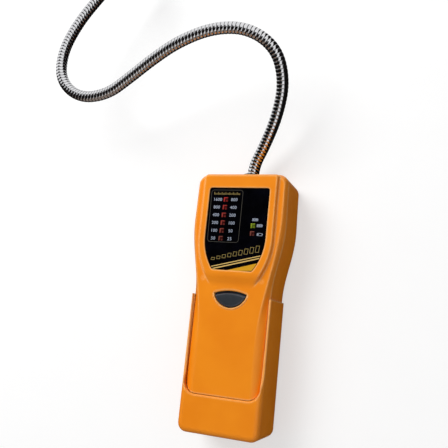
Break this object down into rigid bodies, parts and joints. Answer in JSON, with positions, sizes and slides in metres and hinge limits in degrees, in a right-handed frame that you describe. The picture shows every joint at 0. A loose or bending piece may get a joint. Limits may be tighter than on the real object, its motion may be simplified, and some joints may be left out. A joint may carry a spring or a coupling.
{
  "type": "combustible gas detector",
  "caption": "Hand-held gas detector with a flared head, sunk display panel with a column of lights, half-moon button, slide-off battery cover and a long bent gooseneck probe.",
  "frame": {"origin": "middle of the foot's underside, at half the housing's depth", "axes": "+Y up the handle towards the gooseneck, +Z out of the display, +X to the viewer's right; it lies on its back"},
  "size_m": [0.2074, 0.39, 0.0763],
  "materials": {
    "orange_shell": "satin moulded plastic",
    "black_panel": "glossy printed panel",
    "slate_button": "satin moulded plastic",
    "red_light": "clear red lens",
    "green_light": "clear green lens",
    "green_board": "solder mask",
    "black_plastic": "moulded plastic",
    "white_plastic": "moulded plastic",
    "steel": "zinc plated",
    "spring_steel": "nickel plated",
    "neck_chrome": "chrome plated wound tube",
    "cell_jacket": "printed jacket over a metal can",
    "lead_jacket": "flexible jacket",
    "gold_can": "plated can",
    "screen_steel": "sintered disc"
  },
  "bodies": {
    "housing": {"front_cover": "orange_shell", "rear_case": "orange_shell", "label_panel": "black_panel", "switch_body": "black_plastic", "main_board": "green_board", "board_screws": "steel", "case_screws": "steel", "buzzer": "black_plastic", "control_chip": "black_plastic", "sensor_plug": "white_plastic", "battery_holder": "black_plastic", "battery_springs": "spring_steel", "battery_plates": "spring_steel", "battery_1": "cell_jacket", "battery_2": "cell_jacket", "battery_3": "cell_jacket", "battery_4": "cell_jacket", "neck_bushing": "neck_chrome", "neck_nut": "steel", "battery_led_green": "green_light", "battery_led_red": "red_light", "leak_led_1": "red_light", "leak_led_2": "red_light", "leak_led_3": "red_light", "leak_led_4": "red_light", "leak_led_5": "red_light", "leak_led_6": "red_light"},
    "cover": {"battery_cover": "orange_shell"},
    "button": {"power_button": "slate_button", "switch_plunger": "white_plastic"},
    "neck": {"gooseneck": "neck_chrome", "neck_crimp": "steel", "sensor_lead": "lead_jacket", "sensor_housing": "neck_chrome", "sensor_socket": "black_plastic", "sensor_element": "gold_can", "sensor_screen": "screen_steel", "sensor_cap": "neck_chrome"}
  },
  "joints": [
    {"name": "battery_cover_slide", "type": "slide", "parent": "housing", "child": "cover", "axis": [0, -1, 0], "range_m": [0, 0.1]},
    {"name": "power_button_press", "type": "slide", "parent": "housing", "child": "button", "axis": [0, 0, -1], "range_m": [0, 0.0005], "stiffness_N_per_m": 800},
    {"name": "gooseneck_bend", "type": "hinge", "parent": "housing", "child": "neck", "pos_m": [0, 0.19, -0.005], "axis": [0, 0, 1], "range_deg": [-15, 15]}
  ]
}
